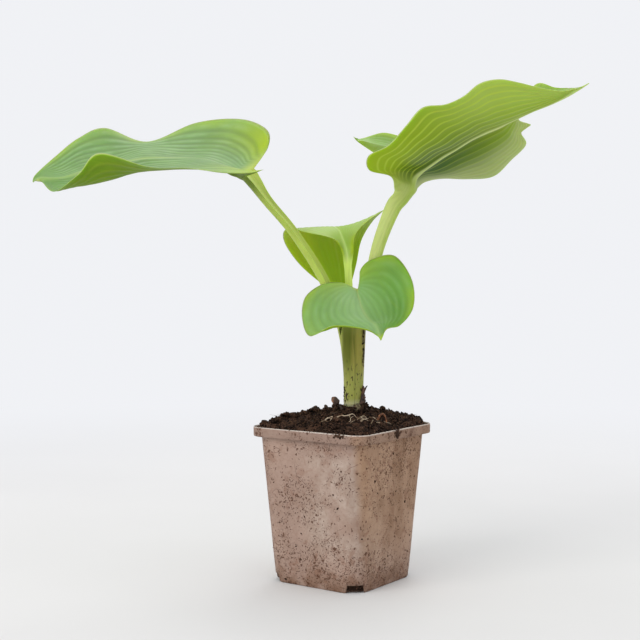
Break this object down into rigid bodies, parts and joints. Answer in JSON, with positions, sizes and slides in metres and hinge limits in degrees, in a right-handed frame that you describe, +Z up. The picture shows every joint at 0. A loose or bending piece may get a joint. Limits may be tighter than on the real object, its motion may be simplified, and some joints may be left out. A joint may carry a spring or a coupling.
{
  "type": "potted hosta plant",
  "caption": "Young hosta with broad folded leaves on upright petioles, growing from dark compost in a square tapered nursery pot with a rim band.",
  "frame": {"origin": "middle of the pot's underside", "axes": "+Z up along the pot; X and Y square to the pot's sides, with the plant's widest spread turned 35.5 degrees from X towards Y"},
  "size_m": [0.2943, 0.2398, 0.3212],
  "materials": {
    "pot_plastic": "matte",
    "compost": "matte",
    "crown_tissue": "satin",
    "leaf_green": "satin",
    "dry_scale": "matte",
    "dry_root": "matte"
  },
  "bodies": {
    "root": {"pot": "pot_plastic", "soil": "compost", "crown": "crown_tissue", "leaf_left": "leaf_green", "leaf_right": "leaf_green", "leaf_back": "leaf_green", "leaf_front": "leaf_green", "leaf_behind": "leaf_green", "dry_bud": "dry_scale", "dry_sheath": "dry_scale", "torn_scale": "dry_scale", "root_arch": "dry_root", "root_curl": "dry_root", "root_tan": "dry_root"}
  },
  "joints": []
}
